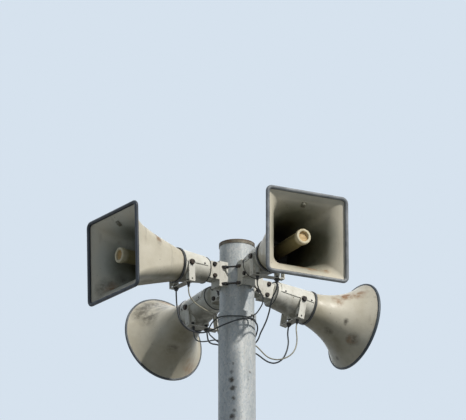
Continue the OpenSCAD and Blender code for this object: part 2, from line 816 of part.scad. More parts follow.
// A vector square to the path, carried along it with no twist
function side_of(p, k) =
    k == 0 ? square_to(p, 0, [1, 0.2, 0.1]) : square_to(p, k, side_of(p, k - 1));
function square_to(p, k, v) = let (h = heading(p, k)) unit(v - h * (v * h));

function cable_ring(p, k, r, sides) =
    let (u = side_of(p, k), v = cross(heading(p, k), u))
    [
        for (s = [0:sides - 1])
            p[k] + r * (u * cos(360 * s / sides) + v * sin(360 * s / sides))
    ];

base_flange();
lower_tube();
joint_collar();
upper_tube();
top_cap();
cable_grommet();
clamp_rods();
horn_bolts();
neck_rings();
bell(FL);  // fl_bell
bell(FR);  // fr_bell
bell(BL);  // bl_bell
bell(BR);  // br_bell
rim(FL);  // fl_rim
rim(FR);  // fr_rim
rim(BL);  // bl_rim
rim(BR);  // br_rim
center_tube(FL);  // fl_center_tube
center_tube(FR);  // fr_center_tube
center_tube(BL);  // bl_center_tube
center_tube(BR);  // br_center_tube
housing(FL);  // fl_housing
housing(FR);  // fr_housing
housing(BL);  // bl_housing
housing(BR);  // br_housing
yoke(FL);  // fl_yoke
yoke(FR);  // fr_yoke
yoke(BL);  // bl_yoke
yoke(BR);  // br_yoke
glands(FL);  // fl_glands
glands(FR);  // fr_glands
glands(BL);  // bl_glands
glands(BR);  // br_glands
mast_bracket(FL);  // fl_mast_bracket
mast_bracket(FR);  // fr_mast_bracket
mast_bracket(BL);  // bl_mast_bracket
mast_bracket(BR);  // br_mast_bracket
color("black") cable(fl_black_route, black_d);  // fl_cable_black
color("black") cable(fr_black_route, black_d);  // fr_cable_black
color("black") cable(bl_black_route, black_d);  // bl_cable_black
color("black") cable(br_black_route, black_d);  // br_cable_black
color("gray") cable(fl_grey_route, grey_d);  // fl_cable_grey
color("gray") cable(fr_grey_route, grey_d);  // fr_cable_grey
color("gray") cable(bl_grey_route, grey_d);  // bl_cable_grey
color("gray") cable(br_grey_route, grey_d);  // br_cable_grey
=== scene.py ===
import math
import bmesh
import bpy
import numpy as np
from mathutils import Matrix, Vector


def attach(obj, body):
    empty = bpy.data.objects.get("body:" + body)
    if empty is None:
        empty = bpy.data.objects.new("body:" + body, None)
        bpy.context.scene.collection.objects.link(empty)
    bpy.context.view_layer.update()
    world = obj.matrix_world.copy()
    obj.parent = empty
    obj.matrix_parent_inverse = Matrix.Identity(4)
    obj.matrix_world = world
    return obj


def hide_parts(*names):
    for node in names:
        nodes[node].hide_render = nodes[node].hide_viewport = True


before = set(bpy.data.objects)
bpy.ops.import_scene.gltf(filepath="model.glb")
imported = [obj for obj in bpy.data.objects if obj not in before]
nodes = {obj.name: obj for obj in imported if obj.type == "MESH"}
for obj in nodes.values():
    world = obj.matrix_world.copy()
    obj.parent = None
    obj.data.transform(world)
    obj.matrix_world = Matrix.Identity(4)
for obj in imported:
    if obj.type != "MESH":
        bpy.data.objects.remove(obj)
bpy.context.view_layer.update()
print("frame loaded:", len(nodes), "solids")


def placed(name, data):
    # a new object at the origin, unturned
    thing = bpy.data.objects.new(name, data)
    bpy.context.scene.collection.objects.link(thing)
    return thing


def aimed(thing, towards):
    # a camera or lamp turned to look along towards
    thing.rotation_mode = "QUATERNION"
    thing.rotation_quaternion = Vector(towards).to_track_quat("-Z", "Y")


# camera: far off, near the ground, looking up at the four horns
viewer = dict(place=(0, -12.3469, 1.7654), aim=(-0.00134, 0.94193, 0.33582), lens=221.13,
              sensor=36, farthest=600)


def makeCamera():
    data = bpy.data.cameras.new("viewer")
    data.lens = viewer["lens"]
    data.sensor_width = viewer["sensor"]
    data.clip_end = viewer["farthest"]
    camera = placed("viewer", data)
    camera.location = viewer["place"]
    aimed(camera, viewer["aim"])
    bpy.context.scene.camera = camera


makeCamera()

# cables: the solids' own routes, in metres
cableWidths = dict(black=0.007, grey=0.006)
cableSteps = dict(along=6, around=3)
cables = {
    "fl_cable_black": dict(jacket="black", length=0.775, exit=(-0.2722, -0.1339, 5.7346),
        route=[(-0.2724, -0.1341, 5.7426), (-0.2714, -0.1334, 5.706), (-0.268, -0.133, 5.661),
        (-0.259, -0.134, 5.615), (-0.236, -0.129, 5.578), (-0.206, -0.124, 5.554),
        (-0.175, -0.12, 5.544), (-0.143, -0.116, 5.546), (-0.102, -0.112, 5.562),
        (-0.06, -0.109, 5.583), (-0.014, -0.107, 5.602), (0.034, -0.104, 5.615),
        (0.068, -0.086, 5.616), (0.088, -0.054, 5.606), (0.093, -0.02, 5.595), (0.09, 0.01, 5.584),
        (0.084, 0.038, 5.574), (0.072, 0.064, 5.563), (0.056, 0.086, 5.552), (0.036, 0.1, 5.546),
        (0.016, 0.092, 5.545), (0.008, 0.072, 5.545)]),
    "fl_cable_grey": dict(jacket="pale", length=0.506, exit=(-0.2151, -0.2136, 5.7286),
        route=[(-0.2153, -0.2138, 5.7366), (-0.2145, -0.2132, 5.706), (-0.208, -0.207, 5.684),
        (-0.19, -0.192, 5.663), (-0.167, -0.172, 5.65), (-0.143, -0.148, 5.642),
        (-0.121, -0.122, 5.639), (-0.104, -0.092, 5.642), (-0.097, -0.06, 5.644),
        (-0.093, -0.028, 5.64), (-0.0915, 0, 5.628), (-0.089, 0.024, 5.612), (-0.084, 0.05, 5.594),
        (-0.07, 0.076, 5.575), (-0.052, 0.094, 5.562), (-0.036, 0.1, 5.557), (-0.016, 0.092, 5.556),
        (-0.008, 0.072, 5.556)]),
    "fr_cable_black": dict(jacket="black", length=0.511, exit=(0.1786, -0.2485, 5.7386),
        route=[(0.1787, -0.2486, 5.7466), (0.1786, -0.2483, 5.721), (0.173, -0.234, 5.701),
        (0.161, -0.192, 5.69), (0.152, -0.15, 5.67), (0.145, -0.112, 5.645), (0.134, -0.074, 5.618),
        (0.12, -0.038, 5.595), (0.108, -0.004, 5.58), (0.102, 0.022, 5.571), (0.096, 0.046, 5.563),
        (0.085, 0.069, 5.554), (0.068, 0.088, 5.546), (0.05, 0.099, 5.538), (0.036, 0.1, 5.535),
        (0.016, 0.092, 5.534), (0.008, 0.072, 5.534)]),
    "fr_cable_grey": dict(jacket="dull", length=0.734, exit=(0.0909, -0.2922, 5.7326),
        route=[(0.091, -0.2922, 5.7406), (0.091, -0.2919, 5.714), (0.101, -0.274, 5.688),
        (0.115, -0.236, 5.676), (0.116, -0.19, 5.664), (0.104, -0.14, 5.652),
        (0.084, -0.096, 5.638), (0.056, -0.08, 5.63), (0.024, -0.092, 5.629),
        (-0.012, -0.094, 5.63), (-0.046, -0.086, 5.632), (-0.078, -0.074, 5.63),
        (-0.104, -0.066, 5.615), (-0.12, -0.054, 5.595), (-0.127, -0.036, 5.578),
        (-0.123, -0.014, 5.568), (-0.113, 0.01, 5.564), (-0.102, 0.034, 5.561),
        (-0.086, 0.062, 5.556), (-0.064, 0.088, 5.548), (-0.036, 0.1, 5.545),
        (-0.016, 0.092, 5.545), (-0.008, 0.072, 5.545)]),
    "bl_cable_black": dict(jacket="black", length=0.3, exit=(-0.1379, 0.2564, 5.6614),
        route=[(-0.1387, 0.2576, 5.6693), (-0.1359, 0.2533, 5.642), (-0.134, 0.248, 5.629),
        (-0.1315, 0.24, 5.617), (-0.128, 0.229, 5.607), (-0.123, 0.215, 5.598), (-0.117, 0.2, 5.59),
        (-0.11, 0.185, 5.583), (-0.102, 0.169, 5.577), (-0.093, 0.154, 5.571),
        (-0.084, 0.14, 5.564), (-0.072, 0.126, 5.554), (-0.06, 0.116, 5.541), (-0.048, 0.108, 5.53),
        (-0.036, 0.1, 5.523), (-0.016, 0.092, 5.523), (-0.008, 0.072, 5.523)]),
    "bl_cable_grey": dict(jacket="dull", length=0.311, exit=(-0.1985, 0.2157, 5.6555),
        route=[(-0.1993, 0.217, 5.6634), (-0.1963, 0.2124, 5.634), (-0.193, 0.2075, 5.62),
        (-0.187, 0.2, 5.608), (-0.179, 0.191, 5.6), (-0.168, 0.181, 5.594), (-0.155, 0.171, 5.59),
        (-0.14, 0.16, 5.588), (-0.125, 0.15, 5.587), (-0.11, 0.14, 5.587), (-0.097, 0.131, 5.585),
        (-0.084, 0.122, 5.58), (-0.072, 0.114, 5.57), (-0.061, 0.109, 5.555), (-0.05, 0.105, 5.541),
        (-0.036, 0.1, 5.534), (-0.016, 0.092, 5.534), (-0.008, 0.072, 5.534)]),
    "br_cable_black": dict(jacket="black", length=0.448, exit=(0.2364, 0.17, 5.6614),
        route=[(0.2376, 0.1708, 5.6693), (0.2338, 0.1684, 5.645), (0.232, 0.158, 5.622),
        (0.233, 0.142, 5.598), (0.234, 0.125, 5.573), (0.231, 0.11, 5.546), (0.224, 0.1, 5.518),
        (0.212, 0.096, 5.492), (0.193, 0.095, 5.473), (0.168, 0.096, 5.465), (0.143, 0.098, 5.471),
        (0.122, 0.102, 5.485), (0.105, 0.106, 5.5), (0.088, 0.109, 5.513), (0.064, 0.108, 5.521),
        (0.036, 0.1, 5.523), (0.016, 0.092, 5.523), (0.008, 0.072, 5.523)]),
    "br_cable_grey": dict(jacket="pale", length=0.471, exit=(0.273, 0.1069, 5.6555),
        route=[(0.2743, 0.1076, 5.6634), (0.2701, 0.1051, 5.637), (0.271, 0.101, 5.611),
        (0.273, 0.097, 5.584), (0.271, 0.093, 5.556), (0.263, 0.089, 5.528), (0.246, 0.085, 5.503),
        (0.218, 0.082, 5.485), (0.186, 0.083, 5.478), (0.156, 0.088, 5.484), (0.137, 0.095, 5.496),
        (0.12, 0.104, 5.514), (0.103, 0.113, 5.536), (0.086, 0.119, 5.554), (0.064, 0.114, 5.561),
        (0.036, 0.102, 5.557), (0.016, 0.092, 5.556), (0.008, 0.072, 5.556)]),
}


def makeCable(node, cable):
    # a curve through the route's points; each handle is a sixth of the way
    # between the point's two neighbours, which is the solid's own curve
    route = np.array(cable["route"], float)
    pull = (np.vstack([route[1:], route[-1:]]) - np.vstack([route[:1], route[:-1]])) / 6
    colour = node.split("_")[-1]
    wide = cableWidths[colour]
    data = bpy.data.curves.new(node + "_line", "CURVE")
    data.dimensions = "3D"
    data.resolution_u = cableSteps["along"]
    data.bevel_resolution = cableSteps["around"]
    data.bevel_depth = 1  # the points' own radius carries the width, so the curve's box is tight
    data.use_fill_caps = True
    points = data.splines.new("BEZIER").bezier_points
    points.add(len(route) - 1)
    for point in points:
        point.handle_left_type = point.handle_right_type = "FREE"
        point.radius = wide / 2
    points.foreach_set("co", route.ravel())
    points.foreach_set("handle_left", (route - pull).ravel())
    points.foreach_set("handle_right", (route + pull).ravel())
    piece = placed(node.replace("_cable_", "_lead_"), data)
    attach(piece, "root")
    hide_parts(node)
    return piece


leads = {node: makeCable(node, cable) for node, cable in cables.items()}
print("cables laid:", len(leads))

# the horns' own frames: x runs out along the axis from the mast, y across, z up; neck,
# mouth and pivot are places on that axis
hornLevel = 5.834
forkBolt = 0.146
squareHorn = dict(rise=0.008, pivot=0.303, square=True)
roundHorn = dict(rise=-0.034, pivot=0.313, square=False, tilt=10.5, neck=0.38, mouth=0.65)
horns = {
    "fl": dict(squareHorn, azimuth=-144.5, tilt=2, neck=0.338, mouth=0.681),
    "fr": dict(squareHorn, azimuth=-63.5, tilt=0.5, neck=0.352, mouth=0.695),
    "bl": dict(roundHorn, azimuth=123),
    "br": dict(roundHorn, azimuth=31),
}


def toTower(horn, points):
    # tilted down about the fork's bolts, raised, and turned to the azimuth
    p = np.asarray(points, float)
    tilt, azimuth = math.radians(horn["tilt"]), math.radians(horn["azimuth"])
    x, y, z = p[..., 0] - forkBolt, p[..., 1], p[..., 2]
    out = forkBolt + x * math.cos(tilt) + z * math.sin(tilt)
    up = hornLevel + horn["rise"] - x * math.sin(tilt) + z * math.cos(tilt)
    return np.stack([out * math.cos(azimuth) - y * math.sin(azimuth),
                     out * math.sin(azimuth) + y * math.cos(azimuth), up], -1)


# surfaces
mergeWithin = 1e-6  # points of a pole or a seam that lie this close become one


def gridFaces(rows, cols, loop, first=0):
    # every point with its next ones along and across makes one face; across it closes,
    # and with loop the last line of points joins the first too
    index = first + np.arange(rows * cols).reshape(rows, cols)
    index = np.hstack([index, index[:, :1]])
    if loop:
        index = np.vstack([index, index[:1]])
    quads = np.stack([index[:-1, :-1], index[:-1, 1:], index[1:, 1:], index[1:, :-1]], -1)
    high, wide = quads.shape[:2]
    v, u = np.mgrid[0:high, 0:wide]
    corners = [(u, v), (u + 1, v), (u + 1, v + 1), (u, v + 1)]
    uv = np.stack([np.stack([a / wide, b / high], -1) for a, b in corners], 2)
    return quads.reshape(-1, 4), uv.reshape(-1, 2)


def surface(name, grids, finish, stands=(), sharp=40):
    # grids is a list of (points, loop), put into one mesh
    places, faces, maps, first = [], [], [], 0
    for points, loop in grids:
        rows, cols = points.shape[:2]
        quads, uv = gridFaces(rows, cols, loop, first)
        places.append(points.reshape(-1, 3))
        faces.append(quads)
        maps.append(uv)
        first += rows * cols
    mesh = bpy.data.meshes.new(name)
    mesh.from_pydata(np.vstack(places).tolist(), [], np.vstack(faces).tolist())
    layer = mesh.uv_layers.new(name="along")
    layer.data.foreach_set("uv", np.vstack(maps).astype(np.float32).ravel())
    work = bmesh.new()
    work.from_mesh(mesh)
    bmesh.ops.remove_doubles(work, verts=work.verts, dist=mergeWithin)
    bmesh.ops.recalc_face_normals(work, faces=work.faces)
    work.to_mesh(mesh)
    work.free()
    mesh.polygons.foreach_set("use_smooth", np.ones(len(mesh.polygons), bool))
    mesh.set_sharp_from_angle(angle=math.radians(sharp))
    mesh.materials.append(finish)
    piece = placed(name, mesh)
    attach(piece, "root")
    if stands:
        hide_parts(*stands)


def roundOnce(steps):
    # even angles once round, the last one short of the first
    return np.arange(steps) * 2 * np.pi / steps


def turned(profile, steps=96):
    # the profile's (x, radius) pairs swung once round the x axis
    profile = np.asarray(profile, float)
    angle = roundOnce(steps)
    x, r = profile[:, :1], profile[:, 1:]
    return np.stack([x + 0 * angle, r * np.cos(angle), r * np.sin(angle)], -1)


def rounded(corners, radius, steps=5):
    # a line whose inner corners are cut by a curve from a to b drawn towards the corner,
    # in even steps; it takes at most 0.45 of either side
    corners = np.asarray(corners, float)
    radius = np.broadcast_to(radius, len(corners))
    line = [corners[:1]]
    t = np.linspace(0, 1, steps)[:, None]
    for before, corner, after, r in zip(corners, corners[1:], corners[2:], radius[1:]):
        back, on = before - corner, after - corner
        reach = min(r, np.linalg.norm(back) * 0.45, np.linalg.norm(on) * 0.45)
        a = corner + back / np.linalg.norm(back) * reach
        b = corner + on / np.linalg.norm(on) * reach
        line.append((1 - t) ** 2 * a + 2 * t * (1 - t) * corner + t ** 2 * b)
    line.append(corners[-1:])
    return np.vstack(line)


def swept(path, section, loop, size=1):
    # the section's (a, b) pairs carried along a flat path: a lies in the path's plane,
    # square to its heading, b stands square to the plane, and both grow by size
    path, section = np.asarray(path, float), np.asarray(section, float)
    if loop:
        heading = np.roll(path, -1, 0) - np.roll(path, 1, 0)
    else:
        heading = np.gradient(path, axis=0)
    heading /= np.linalg.norm(heading, axis=1, keepdims=True)
    flattest = np.linalg.svd(path - path.mean(0))[2][2]
    side = np.cross(heading, flattest)
    side /= np.linalg.norm(side, axis=1, keepdims=True)
    up = np.cross(side, heading)
    size = np.broadcast_to(size, len(path))[:, None, None]
    return path[:, None] + size * (section[:, :1] * side[:, None] + section[:, 1:] * up[:, None])


def roundSection(radius, steps=10):
    angle = roundOnce(steps)
    return np.stack([radius * np.cos(angle), radius * np.sin(angle)], -1)


def bulge(value, power):
    # a power of the size, with the sign kept
    return np.sign(value) * np.abs(value) ** power


def softBlock(size, power=6, steps=10):
    # a block with full round edges: powers of the cosines and sines of a ball's two angles
    v = np.linspace(-np.pi / 2, np.pi / 2, steps)[:, None]
    u = roundOnce(2 * steps)
    edge = 2 / power
    return np.stack([size[0] / 2 * bulge(np.cos(v), edge) * bulge(np.cos(u), edge),
                     size[1] / 2 * bulge(np.cos(v), edge) * bulge(np.sin(u), edge),
                     size[2] / 2 * bulge(np.sin(v), edge) + 0 * u], -1)


def dome(at, out, radius, high, washer=1.5, steps=24):
    # a washer with a domed head: a profile of (height, radius) swung round the way out;
    # the slanted vector only gives a direction square to that way
    out = np.asarray(out, float) / np.linalg.norm(out)
    side = np.cross(out, [0.31, 0.17, 0.94])
    side /= np.linalg.norm(side)
    up = np.cross(out, side)
    line = rounded([(-0.001, 0), (-0.001, radius * washer), (high * 0.3, radius * washer),
                    (high * 0.35, radius), (high * 0.8, radius * 0.86), (high, radius * 0.4),
                    (high, 0)], high * 0.3, 4)
    angle = roundOnce(steps)[None, :, None]
    h, r = line[:, :1, None], line[:, 1:, None]
    return at + h * out + r * (np.cos(angle) * side + np.sin(angle) * up)


# materials
def paint(red, green, blue):
    # a colour as seen on a screen, 0 to 255, as the light values that a shader takes
    tone = np.array([red, green, blue]) / 255
    light = np.where(tone <= 0.04045, tone / 12.92, ((tone + 0.055) / 1.055) ** 2.4)
    return (*light.tolist(), 1.0)


def newFinish(name, painter, *choices):
    # a new material, whose node tree the painter fills
    material = bpy.data.materials.new(name)
    material.use_nodes = True
    material.node_tree.nodes.clear()
    painter(material.node_tree, *choices)
    return material


def put(tree, kind, feeds=None, **settings):
    # a node with its settings, each input fed by a socket or a value
    made = tree.nodes.new("ShaderNode" + kind)
    for key, value in settings.items():
        setattr(made, key, value)
    for key, value in (feeds or {}).items():
        if isinstance(value, bpy.types.NodeSocket):
            tree.links.new(value, made.inputs[key])
        else:
            made.inputs[key].default_value = value
    return made


def whereOn(tree, stretch=None):
    coords = put(tree, "TexCoord").outputs["Object"]
    if stretch:
        coords = put(tree, "Mapping", {"Vector": coords, "Scale": stretch}).outputs[0]
    return coords


def runOn(tree):
    # how far along its own lines of points the surface is, 0 to 1
    place = put(tree, "UVMap", uv_map="along").outputs[0]
    return put(tree, "SeparateXYZ", {0: place}).outputs["Y"]


def cloud(tree, scale, detail=5, rough=0.55, stretch=None):
    return put(tree, "TexNoise", {"Vector": whereOn(tree, stretch), "Scale": scale,
                                  "Detail": detail, "Roughness": rough}).outputs["Fac"]


def level(tree, value, low, high, out=(0, 1)):
    # value brought from low..high to out, evenly, and kept within it
    return put(tree, "MapRange", {"Value": value, "From Min": low, "From Max": high,
                                  "To Min": out[0], "To Max": out[1]}).outputs[0]


def patchy(tree, low, high, scale, detail=5, rough=0.55, stretch=None, out=(0, 1)):
    # a cloud whose values from low to high become out
    return level(tree, cloud(tree, scale, detail, rough, stretch), low, high, out)


def sums(tree, kind, a, b):
    return put(tree, "Math", {0: a, 1: b}, operation=kind, use_clamp=True).outputs[0]


def times(tree, a, b):
    return sums(tree, "MULTIPLY", a, b)


def vectors(tree, kind, a, b=None, out=0):
    feeds = {0: a} if b is None else {0: a, 1: b}
    return put(tree, "VectorMath", feeds, operation=kind).outputs[out]


def facing(tree, low, high):
    # how far the surface looks up, from its normal
    normal = put(tree, "NewGeometry").outputs["Normal"]
    return level(tree, put(tree, "SeparateXYZ", {0: normal}).outputs["Z"], low, high)


def rough(tree, low, high, scale=30):
    return patchy(tree, 0.3, 0.7, scale, out=(low, high))


def coated(tree, colour, *coats):
    # the colour under its coats, each of them a share from 0 to 1 and a colour
    for share, tone in coats:
        colour = put(tree, "Mix", {0: share, 6: colour, 7: tone}, data_type="RGBA").outputs[2]
    return colour


def finished(tree, colour, roughness, bump, metallic=0.0):
    # bump is a height, how deep it goes in metres, and its strength
    height, depth, strength = bump
    normal = put(tree, "Bump", {"Height": height, "Distance": depth, "Strength": strength})
    shader = put(tree, "BsdfPrincipled", {"Base Color": colour, "Roughness": roughness,
                                          "Normal": normal.outputs[0], "Metallic": metallic})
    put(tree, "OutputMaterial", {"Surface": shader.outputs[0]})


stain = dict(ragged=2.2, core=0.35)  # how far its edge wanders, and the full part of its reach


def stainsAt(tree, spots, ragged, grain):
    # 1 at each spot and 0 beyond its reach, with a ragged edge from a noise that moves
    # the point; a spot is its place, its reach and its strength
    noise = put(tree, "TexNoise", {"Vector": whereOn(tree), "Scale": grain, "Detail": 6})
    push = vectors(tree, "SUBTRACT", noise.outputs["Color"], (0.5, 0.5, 0.5))
    push = put(tree, "VectorMath", {0: push, "Scale": ragged * stain["ragged"]},
               operation="SCALE").outputs[0]
    moved = vectors(tree, "ADD", whereOn(tree), push)
    total = None
    for x, y, z, reach, strength in spots:
        away = vectors(tree, "DISTANCE", moved, (x, y, z), "Value")
        here = level(tree, away, reach, reach * stain["core"], (0, strength))
        total = here if total is None else sums(tree, "MAXIMUM", total, here)
    return total


galvanised = dict(pale=paint(216, 217, 214), mid=paint(192, 198, 200), dark=paint(146, 156, 164),
                  streak=paint(146, 150, 150), speck=paint(100, 104, 104), rust=paint(66, 58, 46),
                  grain=150, metal=0.14)


def zinc(tree, tone, spots, streaks):
    # zinc crystals as flat cells of three greys, rain streaks down the tube, and rust spots
    cells = put(tree, "TexVoronoi", {"Vector": whereOn(tree, (1, 1, 0.55)),
                                     "Scale": galvanised["grain"]}).outputs["Color"]
    cell = put(tree, "SeparateColor", {0: cells}).outputs[0]
    broad = patchy(tree, 0.4, 0.7, 7, 7, 0.7, (1, 1, 0.5), out=(0, 0.5))
    run = patchy(tree, 0.52, 0.72, 40, 4, 0.5, (1, 1, 0.05), out=(0, streaks))
    specks = patchy(tree, 0.6, 0.7, 130, 3, 0.6, out=(0, 0.55))
    colour = coated(tree, galvanised["mid"], (level(tree, cell, 0.1, 0.9), galvanised["pale"]),
                    (broad, galvanised["dark"]), (run, galvanised["streak"]),
                    (specks, galvanised["speck"]))
    if spots:
        colour = coated(tree, colour, (stainsAt(tree, spots, 0.008, 90), galvanised["rust"]))
    height = sums(tree, "ADD", cell, patchy(tree, 0, 1, 220, out=(0, 0.5)))
    finished(tree, colour, rough(tree, 0.42, 0.68, 40), (height, 0.0004, 0.3),
             galvanised["metal"] * tone)


# under is painted shade for faces that look down
white = dict(under=paint(96, 90, 72), run=paint(142, 136, 120), chip=paint(96, 78, 58))


def whitePaint(tree, base, edge, grime, scale=34):
    # white paint with grey runs, chips that show the metal, and painted shade on the underside
    under = times(tree, facing(tree, -0.1, -0.8), patchy(tree, 0.25, 0.55, 20))
    runs = patchy(tree, 0.54, 0.74, scale, 5, 0.6, (1, 1, 0.14), out=(0, grime))
    chips = patchy(tree, 0.685, 0.705, 85, 4, 0.55, out=(0, 0.9))
    colour = coated(tree, base, (patchy(tree, 0.35, 0.7, 13, 6, 0.6), edge),
                    (level(tree, under, 0, 1, (0, 0.75)), white["under"]),
                    (runs, white["run"]), (chips, white["chip"]))
    skin = patchy(tree, 0.2, 0.8, 60, out=(0, 0.5))
    height = sums(tree, "SUBTRACT", skin, level(tree, chips, 0, 1, (0, 0.4)))
    finished(tree, colour, rough(tree, 0.4, 0.62, 28), (height, 0.0006, 0.4))


def steel(tree, dark, brown, share, metallic=0.55, grain=70):
    # weathered steel: rust patches on its ground colour, dust on top
    patch = patchy(tree, 0.45, 0.62, grain, 6, 0.65, out=(0, share))
    dust = times(tree, facing(tree, 0.4, 1), patchy(tree, 0.3, 0.7, 40))
    dust = level(tree, dust, 0, 1, (0, 0.35))
    colour = coated(tree, dark, (patch, brown), (dust, paint(120, 116, 106)))
    finished(tree, colour, level(tree, patch, 0, 1, (0.42, 0.85)),
             (cloud(tree, 260, 5, 0.6), 0.0005, 0.5), metallic)


def rubber(tree, base, worn, share=0.6):
    # rubber gone grey: a bloom, dust where it looks up, fine cracks as height
    bloom = patchy(tree, 0.38, 0.66, 22, 6, 0.6, out=(0, share))
    dust = times(tree, facing(tree, 0.3, 1), patchy(tree, 0.35, 0.7, 50))
    dust = level(tree, dust, 0, 1, (0, 0.4))
    colour = coated(tree, base, (bloom, worn), (dust, paint(128, 130, 126)))
    cracks = put(tree, "TexVoronoi", {"Vector": whereOn(tree), "Scale": 150.0},
                 feature="DISTANCE_TO_EDGE").outputs["Distance"]
    finished(tree, colour, rough(tree, 0.36, 0.6), (level(tree, cracks, 0, 0.12), 0.0003, 0.4))


def cableJacket(tree, base, worn):
    # smooth, with dust and slight scuffs
    dust = patchy(tree, 0.42, 0.7, 30, 5, 0.6, out=(0, 0.7))
    scuff = patchy(tree, 0.64, 0.72, 240, 3, out=(0, 0.5))
    colour = coated(tree, base, (dust, worn), (scuff, paint(120, 118, 110)))
    finished(tree, colour, rough(tree, 0.4, 0.6, 60), (cloud(tree, 300), 0.0002, 0.3))


rust = dict(brown=paint(92, 80, 66), grey=paint(128, 122, 108), pale=paint(160, 158, 146),
            edge=paint(84, 60, 40), edgeLow=5.993, edgeHigh=5.998, metal=0.35)


def rustyZinc(tree):
    # brown rust over zinc, with pale patches and a browner top edge
    patch = patchy(tree, 0.4, 0.6, 24, 7, 0.65)
    pale = patchy(tree, 0.5, 0.66, 60, 5, out=(0, 0.8))
    height = put(tree, "SeparateXYZ", {0: whereOn(tree)}).outputs["Z"]
    edge = level(tree, height, rust["edgeLow"], rust["edgeHigh"])
    edge = times(tree, edge, patchy(tree, 0.3, 0.55, 40))
    colour = coated(tree, rust["brown"], (patch, rust["grey"]), (pale, rust["pale"]),
                    (edge, rust["edge"]))
    finished(tree, colour, rough(tree, 0.5, 0.85), (cloud(tree, 180), 0.0006, 0.5),
             rust["metal"])


# spots on the mast and the base plate: place, reach, strength
mastSpots = [
    (-0.0174, -0.0822, 5.4106, 0.009, 0.55), (-0.0241, -0.0804, 5.3365, 0.017, 0.95),
    (-0.0192, -0.0819, 5.2972, 0.016, 0.9), (-0.0157, -0.0825, 5.2508, 0.012, 0.8),
    (-0.021, -0.0813, 5.1665, 0.017, 0.9), (0.0576, -0.0611, 5.3773, 0.009, 0.7),
    (-0.024, -0.0804, 5.372, 0.012, 0.55), (-0.004, -0.0835, 5.3, 0.007, 0.5),
    (-0.012, -0.083, 5.195, 0.012, 0.6), (-0.03, -0.078, 5.135, 0.01, 0.6)]
plateSpots = [(0.14, -0.15, 0.02, 0.06, 0.5), (-0.16, 0.12, 0.02, 0.05, 0.5)]

looks = {
    "lowerTube": ("lowerTubeZinc", zinc, 0.9, mastSpots, 0.55),
    "upperTube": ("upperTubeZinc", zinc, 1.0, (), 0.4),
    "plate": ("plateZinc", zinc, 0.8, plateSpots, 0.2),
    "weld": ("weldZinc", steel, paint(140, 146, 150), paint(110, 96, 78), 0.4, 0.6, 90),
    "cap": ("capRust", rustyZinc),
    "housing": ("housingPaint", whitePaint, paint(232, 231, 222), paint(214, 212, 200), 0.45),
    "bracket": ("bracketPaint", whitePaint, paint(228, 227, 218), paint(206, 203, 192), 0.6, 44),
    "clip": ("clipPaint", whitePaint, paint(134, 132, 116), paint(112, 110, 94), 0.5, 44),
    "bolt": ("boltSteel", steel, paint(40, 39, 38), paint(84, 66, 50), 0.55),
    "rod": ("rodSteel", steel, paint(46, 47, 48), paint(88, 70, 54), 0.5),
    "rubber": ("seamRubber", rubber, paint(36, 38, 40), paint(70, 72, 72)),
    # the four rims are one rubber painted as lit and shaded copies: the front right lighter as if
    # in sun, the front left darker as if in shade, the back two between
    "flRim": ("rimRubberShaded", rubber, paint(34, 41, 50), paint(54, 62, 70)),
    "frRim": ("rimRubberSunlit", rubber, paint(104, 108, 112), paint(150, 154, 156), 0.8),
    "blRim": ("rimRubberBackLeft", rubber, paint(48, 55, 62), paint(86, 92, 94), 0.7),
    "brRim": ("rimRubberBackRight", rubber, paint(40, 49, 58), paint(78, 88, 94)),
    "gland": ("glandPlastic", rubber, paint(38, 38, 38), paint(66, 64, 60), 0.5),
    "black": ("blackJacket", cableJacket, paint(40, 44, 48), paint(64, 68, 70)),
    "pale": ("paleJacket", cableJacket, paint(168, 164, 146), paint(128, 122, 104)),
    "dull": ("dullJacket", cableJacket, paint(66, 70, 70), paint(88, 88, 82)),
    "tie": ("tiePlastic", rubber, paint(42, 38, 34), paint(86, 66, 48)),
}
finishes = {key: newFinish(*look) for key, look in looks.items()}
print("materials mixed:", len(finishes))


def dress(node, finish):
    for place in nodes[node].material_slots:
        place.material = finishes[finish]


plainNodes = {"base_flange": "plate", "lower_tube": "lowerTube", "joint_collar": "upperTube",
              "upper_tube": "upperTube", "top_cap": "cap", "cable_grommet": "rubber",
              "clamp_rods": "rod", "horn_bolts": "bolt", "neck_rings": "rubber"}
for side in horns:
    plainNodes.update({side + "_rim": side + "Rim", side + "_housing": "housing",
                       side + "_yoke": "bracket", side + "_mast_bracket": "bracket",
                       side + "_glands": "gland"})
for node, finish in plainNodes.items():
    dress(node, finish)
for node, cable in cables.items():
    leads[node].data.materials.append(finishes[cable["jacket"]])
    dress(node, cable["jacket"])
print("solids dressed:", len(plainNodes))

# bells
bell = dict(wall=0.003, neckWide=0.15, neckLong=0.009, rimWide=0.017, rimDeep=0.014,
            squareWide=0.404, squareHigh=0.396, squareCorner=0.03, roundWide=0.42,
            squareFlare=0.3, lipShare=0.4, lipPower=12, cornerPower=0.7, neckCorner=0.98,
            roundFlare=1.9, stations=56, closing=1.6, cornerSteps=12, roundSteps=128, sharp=50)
# under and deep are painted shade: under for the bells' downward faces, deep for their throats
cream = dict(sun=paint(222, 216, 199), plain=paint(206, 199, 180), aged=paint(176, 164, 134),
             under=paint(104, 98, 74), deep=paint(30, 27, 19), grime=paint(96, 84, 62),
             rust=paint(142, 98, 50), black=paint(60, 52, 36))
# painted shade tones for the bells' insides, wall then depth; the front right is darker and the
# front left lighter, as shaded and lit copies of one paint
roundInsideShade = dict(wall=paint(170, 168, 152), depth=paint(104, 98, 74))
insideShades = dict(fl=dict(wall=paint(184, 186, 176), depth=paint(86, 84, 62)),
              fr=dict(wall=paint(124, 125, 110), depth=paint(66, 62, 42)),
              bl=roundInsideShade, br=roundInsideShade)
# where the painted shade inside the bells deepens: by the distance from the axis in metres in the
# square bells, by the run along the skin in the round ones
squareShade = dict(wall=(0.19, 0.125), depth=(0.142, 0.1), deep=(0.107, 0.084), uneven=0.006)
roundShade = dict(wall=(0.52, 0.7), depth=(0.64, 0.84), deep=(0.8, 0.92), uneven=0.02)
